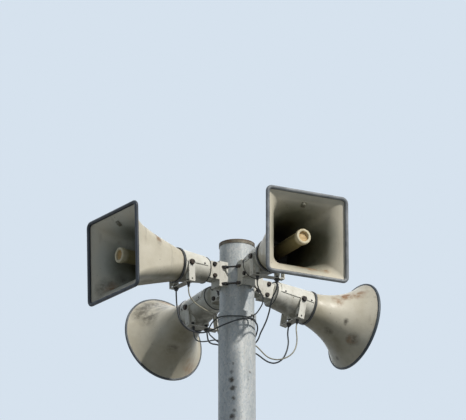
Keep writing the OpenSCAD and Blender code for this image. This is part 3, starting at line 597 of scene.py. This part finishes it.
# dirt and rust on the bells: place, reach, strength
bellMarks = {
    "fl": dict(
        dirt=[(-0.58, -0.224, 5.708, 0.06, 0.9), (-0.518, -0.214, 5.741, 0.05, 0.8),
              (-0.351, -0.372, 5.916, 0.022, 0.8), (-0.333, -0.366, 5.89, 0.028, 0.7),
              (-0.6006, -0.2277, 5.8409, 0.007, 0.9)],
        rust=[(-0.551, -0.2355, 5.692, 0.05, 0.7), (-0.345, -0.37, 5.905, 0.025, 0.7)]),
    "fr": dict(
        dirt=[(0.3475, -0.4294, 5.765, 0.03, 0.6), (0.24, -0.345, 5.79, 0.05, 0.6)],
        rust=[(0.3208, -0.5538, 5.6992, 0.04, 0.9), (0.3745, -0.527, 5.7, 0.032, 0.9),
              (0.2761, -0.5538, 5.7093, 0.035, 0.7)]),
    "bl": dict(
        dirt=[(-0.4208, 0.4699, 5.8529, 0.075, 0.8), (-0.3731, 0.4923, 5.8699, 0.075, 0.8),
              (-0.449, 0.4407, 5.8126, 0.07, 0.75), (-0.4084, 0.4062, 5.7821, 0.06, 0.75),
              (-0.35, 0.43, 5.84, 0.06, 0.7), (-0.2974, 0.4006, 5.6216, 0.03, 0.6)],
        rust=[(-0.2201, 0.5475, 5.5857, 0.06, 0.5), (-0.3402, 0.5627, 5.9008, 0.05, 0.6)]),
    "br": dict(
        dirt=[(0.4132, 0.2035, 5.6506, 0.028, 0.8), (0.5244, 0.2012, 5.6096, 0.04, 0.85),
              (0.4951, 0.171, 5.6884, 0.014, 0.8), (0.4663, 0.3199, 5.5573, 0.02, 0.9),
              (0.6303, 0.1905, 5.8125, 0.012, 0.6)],
        rust=[(0.4997, 0.2143, 5.8203, 0.05, 1.0), (0.5661, 0.2216, 5.8323, 0.045, 0.8),
              (0.4692, 0.1813, 5.7898, 0.04, 0.7), (0.5244, 0.2012, 5.6096, 0.03, 0.5)]),
}
mouthRun = 0.5  # the skin's run at the rim: outside below it, inside above


def fromAxis(tree, horn):
    # how far the surface is from the horn's own axis: the length of the cross product of
    # the way from a point on the axis with the axis's direction
    foot, ahead = toTower(horn, (0, 0, 0)), toTower(horn, (1, 0, 0))
    away = vectors(tree, "SUBTRACT", whereOn(tree), tuple(foot))
    side = vectors(tree, "CROSS_PRODUCT", away, tuple(ahead - foot))
    return vectors(tree, "LENGTH", side, out="Value")


def bellInsideShade(tree, horn, inner, run):
    # painted shade inside the bell: plain at the mouth, then each bell's wall and depth shade
    # tones, then nearly black at the throat; a square bell darkens with the distance from its axis,
    # so the painted dark there is round
    shade = squareShade if horn["square"] else roundShade
    uneven = patchy(tree, 0.3, 0.7, 12, 5, out=(-shade["uneven"], shade["uneven"]))
    depth = fromAxis(tree, horn) if horn["square"] else run
    depth = put(tree, "Math", {0: depth, 1: uneven}, operation="ADD").outputs[0]
    return coated(tree, cream["plain"], (level(tree, depth, *shade["wall"]), inner["wall"]),
                  (level(tree, depth, *shade["depth"]), inner["depth"]),
                  (level(tree, depth, *shade["deep"]), cream["deep"]))


def bellPaint(tree, side, horn):
    # cream paint with aged patches, painted shade below and inside, with dirt on top, specks, drips
    # and marks
    run = runOn(tree)
    mottle = patchy(tree, 0.35, 0.7, 9, 7, 0.62)
    patches = patchy(tree, 0.5, 0.75, 3.2, 6, 0.6, out=(0, 0.6))
    neck = times(tree, level(tree, run, 0.17, 0.02, (0, 0.45)), patchy(tree, 0.3, 0.65, 14))
    inside = times(tree, level(tree, run, mouthRun, 0.51),
                   level(tree, run, mouthRun, 0.6, (0.35, 1)))
    # painted shade: faces that look down darken to the under tone
    paintedUnderShade = times(tree, facing(tree, -0.1, -0.75), level(tree, run, 0.51, mouthRun))
    paintedUnderShade = times(tree, paintedUnderShade, patchy(tree, 0.3, 0.6, 6, 6, out=(0.35, 0.8)))
    topDirt = times(tree, facing(tree, 0.35, 0.95), patchy(tree, 0.5, 0.66, 16, 7, 0.7))
    fine = patchy(tree, 0.5, 0.72, 75, 6, 0.7)
    topDirt = times(tree, topDirt, level(tree, fine, 0, 1, (0.25, 0.7)))
    specks = patchy(tree, 0.695, 0.73, 120, 3, 0.6, out=(0, 0.85))
    drips = patchy(tree, 0.6, 0.78, 26, 5, 0.6, (1, 1, 0.16), out=(0, 0.35))
    black = times(tree, stainsAt(tree, bellMarks[side]["dirt"], 0.03, 12),
                  patchy(tree, 0.36, 0.58, 30, 7, 0.7, out=(0.25, 1)))
    brown = times(tree, stainsAt(tree, bellMarks[side]["rust"], 0.028, 14),
                  patchy(tree, 0.38, 0.58, 34, 6, 0.65, out=(0.15, 1)))
    colour = coated(tree, cream["sun"], (mottle, cream["plain"]), (patches, cream["aged"]),
                    (neck, cream["aged"]), (inside, bellInsideShade(tree, horn, insideShades[side], run)),
                    (paintedUnderShade, cream["under"]), (topDirt, cream["grime"]), (specks, cream["grime"]),
                    (drips, cream["grime"]), (black, cream["black"]), (brown, cream["rust"]))
    height = patchy(tree, 0.3, 0.7, 45, 6, 0.6)
    finished(tree, colour, rough(tree, 0.34, 0.58, 24), (height, 0.0007, 0.35))


def flareShare(u, rate):
    # the share of the flare's growth at u, from 0 to 1: it grows by even ratios
    return (np.exp(rate * u) - 1) / (math.exp(rate) - 1)


def lipped(u):
    # the square bells' growth: a slow flare, and a power of u that opens the lip
    lip = bell["lipShare"]
    return (1 - lip) * flareShare(u, bell["squareFlare"]) + lip * u ** bell["lipPower"]


def bellRun(horn):
    # where the flare starts on the axis, and how far it runs
    start = horn["neck"] + bell["neckLong"]
    return start, horn["mouth"] - bell["rimDeep"] - start


def grownTo(outer, grow):
    # half the width, from the neck's to that under the rim of a mouth this wide
    neck, rim = bell["neckWide"] / 2, bell["rimWide"] / 2
    return neck + (outer / 2 - rim - neck) * grow


def bellStations(horn):
    # along the axis: a short straight neck, then steps that close up towards the rim
    even = np.linspace(0, 1, bell["stations"])
    u = np.concatenate([[0], 1 - (1 - even) ** bell["closing"]])
    start, run = bellRun(horn)
    return np.concatenate([[horn["neck"]], start + run * u[1:]]), u


def squareBell(horn):
    # at each station an outline of four flat sides and four round corners; the half
    # width and height grow with the lipped flare, and the corners go from nearly a
    # circle at the neck to the mouth's small radius; the inner skin lies inwards by
    # the wall times the root of one plus the slope squared
    x, u = bellStations(horn)
    grow = lipped(u)
    halfY, halfZ = grownTo(bell["squareWide"], grow), grownTo(bell["squareHigh"], grow)
    share = u ** bell["cornerPower"]
    corner = (halfZ * bell["neckCorner"] * (1 - share)
              + (bell["squareCorner"] - bell["rimWide"] / 2) * share)
    across = bell["wall"] * np.sqrt(1 + np.gradient(halfY[1:], x[1:]) ** 2)
    across = np.concatenate([[bell["wall"]], across])
    quarter = np.arange(4).repeat(bell["cornerSteps"] + 1)
    angle = np.pi / 2 * (quarter + np.tile(np.linspace(0, 1, bell["cornerSteps"] + 1), 4))
    sideY = np.where((quarter == 0) | (quarter == 3), 1, -1)
    sideZ = np.where(quarter < 2, 1, -1)

    def skin(inset):
        y, z, r = halfY - inset * across, halfZ - inset * across, corner - inset * across
        return np.stack([x[:, None] + 0 * angle,
                         sideY * (y - r)[:, None] + r[:, None] * np.cos(angle),
                         sideZ * (z - r)[:, None] + r[:, None] * np.sin(angle)], -1)
    return np.concatenate([skin(0), skin(1)[::-1]])


def roundBell(horn):
    # a circle at each station, out along the outer skin and back along the inner
    x, u = bellStations(horn)
    r = grownTo(bell["roundWide"], flareShare(u, bell["roundFlare"]))
    outer, inner = np.stack([x, r], -1), np.stack([x, r - bell["wall"]], -1)
    return turned(np.concatenate([outer, inner[::-1]]), bell["roundSteps"])


for side, horn in horns.items():
    shape = squareBell(horn) if horn["square"] else roundBell(horn)
    surface(side + "_bell_shell", [(toTower(horn, shape), True)],
            newFinish(side + "BellPaint", bellPaint, side, horn),
            [side + "_bell"], bell["sharp"])
print("bells flared:", len(horns))

# centre tubes
centre = dict(wide=0.062, wall=0.004, ringWide=0.07, ringLong=0.02, hole=0.045,
              holeDeep=0.012, setBack=0.04, stations=18, dishThick=0.0015, throatIn=0.0015,
              throatDeep=0.004, throatThick=0.0015, steps=64)
tubeCream = dict(sun=paint(222, 212, 182), plain=paint(198, 184, 146),
                 tube=paint(148, 136, 96), throat=paint(62, 52, 30), grime=paint(120, 104, 70))


def tubePaint(tree):
    # cream on the end ring, brown on the tube, and painted shade darker towards the throat
    run = runOn(tree)
    mottle = patchy(tree, 0.35, 0.7, 18, 6)
    tube = coated(tree, tubeCream["tube"], (level(tree, run, 0.3, 0.08), tubeCream["throat"]))
    grime = patchy(tree, 0.55, 0.72, 40, 6, 0.7, out=(0, 0.6))
    colour = coated(tree, tubeCream["sun"], (mottle, tubeCream["plain"]),
                    (level(tree, run, 0.345, 0.325), tube), (grime, tubeCream["grime"]))
    finished(tree, colour, rough(tree, 0.38, 0.6), (cloud(tree, 60), 0.0006, 0.35))


def dishPaint(tree):
    # tan, with brown specks
    mottle = patchy(tree, 0.35, 0.65, 30, 6, 0.65)
    specks = patchy(tree, 0.58, 0.7, 110, 4, out=(0, 0.6))
    colour = coated(tree, paint(206, 178, 128), (mottle, paint(176, 144, 92)),
                    (specks, paint(120, 92, 54)))
    finished(tree, colour, rough(tree, 0.45, 0.7), (cloud(tree, 90), 0.0005, 0.4))


def throatPaint(tree):
    # painted shade: nearly black, with a brown cast, a dark sheet for the shadowed throat
    mottle = patchy(tree, 0.4, 0.7, 40)
    colour = coated(tree, paint(20, 18, 12), (mottle, paint(34, 28, 16)))
    finished(tree, colour, rough(tree, 0.7, 0.9), (cloud(tree, 90), 0.0005, 0.3))


centreTubePaint = newFinish("centreTubePaint", tubePaint)
centreThroatShade = newFinish("throatPaint", throatPaint)
centreDishPaint = newFinish("dishPaint", dishPaint)


def centreTube(horn):
    # the outside of the tube, its rounded end ring, and the inside back to the neck
    end = horn["mouth"] - centre["setBack"]
    ring = end - centre["ringLong"]
    dish = end - centre["holeDeep"]
    r, big, hole = centre["wide"] / 2, centre["ringWide"] / 2, centre["hole"] / 2
    inner = r - centre["wall"]
    along = np.linspace(horn["neck"], ring, centre["stations"])
    tube = np.stack([along, np.full(len(along), r)], -1)
    cap = rounded([(ring, r), (ring + 0.0008, r), (ring + 0.0012, big), (end, big),
                   (end, hole), (dish + 0.001, hole)],
                  [0, 0.0003, 0.003, 0.0055, 0.0035, 0], 7)
    back = np.array([(dish + 0.001, inner), (horn["neck"], inner)])
    return turned(np.vstack([tube, cap[1:], back]))


def centreDish(horn):
    # a shallow bowl with a rolled lip, thin, closed at its middle on both sides
    dish = horn["mouth"] - centre["setBack"] - centre["holeDeep"]
    hole = centre["hole"] / 2
    line = rounded([(dish + 0.0035, hole + 0.0005), (dish + 0.003, hole - 0.0015),
                    (dish + 0.0004, hole - 0.005), (dish, hole * 0.45),
                    (dish + 0.0006, hole * 0.2), (dish + 0.0008, 0)], 0.003)
    under = line[::-1] - (centre["dishThick"], 0)
    return turned(np.vstack([line, under]), centre["steps"])


def throatRing(horn):
    # a thin ring between the centre tube and the bell's neck, with both its edges raised; it
    # carries the painted throat shade
    x, deep = horn["neck"] + centre["throatIn"], centre["throatDeep"]
    front = x + centre["throatThick"]
    low, high = centre["wide"] / 2, bell["neckWide"] / 2 - bell["wall"]
    ring = [(x, low + 0.0002), (x, high - 0.0003), (x + deep, high - 0.0003),
            (front, high - deep), (front, low + deep), (x + deep, low + 0.0002)]
    return turned(ring, centre["steps"])


for side, horn in horns.items():
    surface(side + "_centre_tube", [(toTower(horn, centreTube(horn)), True)],
            centreTubePaint, [side + "_center_tube"])
    surface(side + "_centre_dish", [(toTower(horn, centreDish(horn)), True)],
            centreDishPaint)
    surface(side + "_throat", [(toTower(horn, throatRing(horn)), True)],
            centreThroatShade)
print("centre tubes set:", len(horns))

# small parts on the horns; the housing tapers from its rear and has a cover on its upper half
housing = dict(rear=0.178, rearRadius=0.059, neckRadius=0.075, cover=0.003, coverEdge=0.003)
rearSeal = dict(x=0.1845, radius=0.0592, thick=0.0021, steps=96)
coverScrew = dict(rear=0.222, fromNeck=0.024, clear=0.022, head=0.00315, high=0.002, up=0.007)


def makeSeal(side, horn):
    # a round cord section carried round the rear of the housing
    ring = np.insert(roundSection(rearSeal["radius"], rearSeal["steps"]), 0, rearSeal["x"], 1)
    points = swept(ring, roundSection(rearSeal["thick"]), True)
    surface(side + "_rear_seal", [(toTower(horn, points), True)], finishes["rubber"])


def coverRadius(horn, x):
    # the cover's outside at x: the housing's straight taper and the cover's thickness
    grow = (housing["neckRadius"] - housing["rearRadius"]) / (horn["neck"] - housing["rear"])
    return housing["rearRadius"] + grow * (x - housing["rear"]) + housing["cover"]


def makeCoverScrews(side, horn):
    # up to two screws on each side of the cover, just over its edge, where no yoke is
    grids = []
    for x in (coverScrew["rear"], horn["neck"] - coverScrew["fromNeck"]):
        if abs(x - horn["pivot"]) < coverScrew["clear"]:
            continue
        z = housing["coverEdge"] + coverScrew["up"]
        y = math.sqrt(coverRadius(horn, x) ** 2 - z ** 2)
        for sign in (-1, 1):
            screw = dome((x, sign * y, z), (0, sign * y, z), coverScrew["head"],
                         coverScrew["high"])
            grids.append((toTower(horn, screw), False))
    surface(side + "_cover_screws", grids, finishes["bolt"])


bellClip = dict(setBack=0.045, plate=(0.03, 0.022, 0.004), head=0.008, headHigh=0.006,
                headWasher=1.3, nut=0.0055, nutHigh=0.004, nutWasher=1.6)


def makeBellClip(side, horn):
    # a screw and washer through the upper wall, near the mouth, with its clip; the wall's
    # lean there is its rise from a little before the screw to a little after it
    x = horn["mouth"] - bellClip["setBack"]
    start, run = bellRun(horn)
    u, step = (x - start) / run, 0.03
    half = grownTo(bell["squareHigh"], lipped(np.array([u - step, u, u + step])))
    slope = (half[2] - half[0]) / (2 * step * run)
    lean = math.hypot(slope, 1)
    inward = np.array([slope, 0, -1]) / lean
    along = np.array([1, 0, slope]) / lean
    across = np.array([0, 1, 0])
    outer = np.array([x, 0, half[1]])
    spot = outer + inward * bell["wall"]
    thick = bellClip["plate"][2]
    block = softBlock(bellClip["plate"])
    clip = (spot + inward * thick * 0.4 + block[..., :1] * along
            + block[..., 1:2] * across + block[..., 2:] * inward)
    head = dome(spot + inward * thick * 0.8, inward, bellClip["head"], bellClip["headHigh"],
                bellClip["headWasher"])
    nut = dome(outer, -inward, bellClip["nut"], bellClip["nutHigh"], bellClip["nutWasher"])
    surface(side + "_bell_clip", [(toTower(horn, part), False) for part in (head, clip, nut)],
            finishes["clip"])


for side, horn in horns.items():
    makeSeal(side, horn)
    makeCoverScrews(side, horn)
    if horn["square"]:
        makeBellClip(side, horn)
print("seals, screws and clips fitted")

# welds on the mast
weld = dict(tubeRadius=0.08415, plateTop=0.02, collarLow=5.634, size=0.0045, gussetSize=0.75,
            collarSize=0.6, ripple=0.12, step=0.006, sides=8)
# the ends of the beads at a gusset: out from the tube, to the gusset's side, and up
gussetBeads = {"plate": [(0.006, 0.0055, 0.0215), (0.088, 0.0055, 0.0215)],
               "tube": [(0.0005, 0.0062, 0.028), (0.0005, 0.0062, 0.168)]}


def beadRing(radius, z, size):
    # a round bead whose thickness ripples along its run
    count = int(2 * np.pi * radius / weld["step"]) * 4
    ring = np.insert(roundSection(radius, count), 2, z, 1)
    ripple = 1 + weld["ripple"] * np.abs(np.sin(roundOnce(count) * count / 8))
    return swept(ring, roundSection(size, weld["sides"]), True, ripple), True


def beadLine(a, b, size):
    # a straight bead with the same ripple, closed to a point at both ends
    a, b = np.asarray(a, float), np.asarray(b, float)
    count = int(np.linalg.norm(b - a) / weld["step"]) * 4
    t = np.linspace(0, 1, count)
    taper = np.minimum(1, np.sqrt(np.minimum(t, 1 - t) * count / 4))
    taper[[0, -1]] = 1e-5
    ripple = (1 + weld["ripple"] * np.abs(np.sin(t * count * np.pi / 4))) * taper
    line = a + (b - a) * t[:, None]
    return swept(line, roundSection(size, weld["sides"]), False, ripple), False


def makeWelds():
    # a ring at the foot, one under the collar, and four beads at each gusset
    r, size = weld["tubeRadius"], weld["size"]
    foot = beadRing(r + 0.001, weld["plateTop"] + 0.001, size)
    surface("base_weld", [foot], finishes["weld"])
    beads = []
    for quarter in range(4):
        c, s = math.cos(quarter * math.pi / 2), math.sin(quarter * math.pi / 2)
        for sign in (-1, 1):
            for ends in gussetBeads.values():
                ends = [(r + out, sign * aside, z) for out, aside, z in ends]
                ends = [(x * c - y * s, x * s + y * c, z) for x, y, z in ends]
                beads.append(beadLine(*ends, size * weld["gussetSize"]))
    surface("gusset_welds", beads, finishes["weld"])
    collar = beadRing(r + 0.0006, weld["collarLow"] - 0.0008, size * weld["collarSize"])
    surface("collar_weld", [collar], finishes["weld"])


makeWelds()
print("welds run")

# ties round the cables: centre, heading of the bundle, half the tie's height and depth
ties = {
    "cable_tie_left": ((-0.0975, -0.068, 5.632), (-0.5, 0.85, 0), (0.0165, 0.008)),
    "cable_tie_right": ((0.069, -0.087, 5.625), (0.75, 0.65, 0), (0.0145, 0.0075)),
    "cable_tie_back_left": ((-0.034, 0.1, 5.54), (1, 0, 0), (0.0225, 0.0062)),
    "cable_tie_back_right": ((0.034, 0.1, 5.54), (1, 0, 0), (0.0225, 0.0062)),
}
tieStrap = dict(wide=0.0042, thick=0.0012, corner=0.0004, head=(0.0075, 0.006, 0.0055),
                headOut=0.0025, square=0.7, steps=64)


def makeTie(name, at, heading, half):
    # a flat strap along a rounded loop, with a small square head on its side
    at, heading = np.asarray(at), np.asarray(heading) / np.linalg.norm(heading)
    up = np.array([0.0, 0.0, 1.0])
    outWay = np.cross(heading, up)
    angle = roundOnce(tieStrap["steps"])
    loop = (at + half[0] * bulge(np.cos(angle), tieStrap["square"])[:, None] * up
            + half[1] * bulge(np.sin(angle), tieStrap["square"])[:, None] * outWay)
    a, b = tieStrap["thick"] / 2, tieStrap["wide"] / 2
    section = rounded([(a, 0), (a, b), (-a, b), (-a, -b), (a, -b), (a, 0)],
                      tieStrap["corner"], 3)[:-1]
    block = softBlock(tieStrap["head"])
    head = (at + outWay * (half[1] + tieStrap["headOut"]) + block[..., :1] * up
            + block[..., 1:2] * outWay + block[..., 2:] * heading)
    surface(name, [(swept(loop, section, True), True), (head, False)], finishes["tie"])


for name, tie in ties.items():
    makeTie(name, *tie)
print("ties pulled:", len(ties))

# floor, sky and lamps
backdrop = dict(sky=paint(214, 226, 238), floor=paint(222, 224, 226), patch=paint(214, 216, 218),
                bounce=paint(92, 92, 86), light=(0.74, 0.86, 1.0, 1), lightStrength=0.09,
                reach=120.0, fade=(8, 45), rings=40, sides=96)
lamps = {
    "key": dict(towards=(-0.569, 0.513, -0.643), strength=3.0, spread=2.5, tint=(1.0, 0.97, 0.92)),
    "fill": dict(towards=(0.75, 0.6, -0.1), strength=0.05, spread=60, tint=(0.86, 0.93, 1.0)),
    "back": dict(towards=(0.2, -0.8, -0.5), strength=0.6, spread=50, tint=(1.0, 1.0, 1.0)),
}


def seenRays(tree):
    # 1 for what the camera sees, straight or in a reflection, and 0 for the object's light
    path = put(tree, "LightPath").outputs
    mirrored = sums(tree, "MAXIMUM", path["Is Glossy Ray"], path["Is Transmission Ray"])
    return sums(tree, "MAXIMUM", path["Is Camera Ray"], mirrored)


def groundPaint(tree):
    # pale where it is seen, darker for the light it throws up, and sky far out
    far = vectors(tree, "LENGTH", whereOn(tree), out="Value")
    shade = coated(tree, backdrop["floor"], (cloud(tree, 0.8, 4), backdrop["patch"]))
    shade = coated(tree, backdrop["bounce"], (seenRays(tree), shade))
    ground = put(tree, "BsdfPrincipled", {"Base Color": shade, "Roughness": 0.85})
    glow = put(tree, "Emission", {"Color": backdrop["sky"]})
    both = put(tree, "MixShader", {0: level(tree, far, *backdrop["fade"]),
                                   1: ground.outputs[0], 2: glow.outputs[0]})
    put(tree, "OutputMaterial", {"Surface": both.outputs[0]})


def makeFloor():
    # rings of points that grow outwards by squares, flat at the ground
    rings, sides = backdrop["rings"], backdrop["sides"]
    r = np.linspace(0, 1, rings)[:, None] ** 2 * backdrop["reach"]
    angle = roundOnce(sides)
    points = np.stack([r * np.cos(angle), r * np.sin(angle), 0 * r + 0 * angle], -1)
    mesh = bpy.data.meshes.new("ground")
    mesh.from_pydata(points.reshape(-1, 3).tolist(), [],
                     gridFaces(rings, sides, False)[0].tolist())
    mesh.materials.append(newFinish("groundPaint", groundPaint))
    work = bmesh.new()
    work.from_mesh(mesh)
    bmesh.ops.remove_doubles(work, verts=work.verts, dist=mergeWithin)
    for face in work.faces:
        if face.normal.z < 0:
            face.normal_flip()
    work.to_mesh(mesh)
    work.free()
    floor = placed("ground", mesh)


def makeSky():
    # one soft light for the object, and the pale backdrop for the camera and reflections
    world = bpy.data.worlds.new("studio")
    bpy.context.scene.world = world
    world.use_nodes = True
    tree = world.node_tree
    tree.nodes.clear()
    lit = put(tree, "Background", {"Color": backdrop["light"],
                                   "Strength": backdrop["lightStrength"]})
    shown = put(tree, "Background", {"Color": backdrop["sky"]})
    both = put(tree, "MixShader", {0: seenRays(tree), 1: lit.outputs[0], 2: shown.outputs[0]})
    put(tree, "OutputWorld", {"Surface": both.outputs[0]})


def makeLamps():
    for name, lamp in lamps.items():
        data = bpy.data.lights.new(name, "SUN")
        data.energy = lamp["strength"]
        data.angle = math.radians(lamp["spread"])
        data.color = lamp["tint"]
        aimed(placed(name, data), lamp["towards"])


makeFloor()
makeSky()
makeLamps()
bpy.context.scene.view_settings.view_transform = "Standard"
print("studio lit")
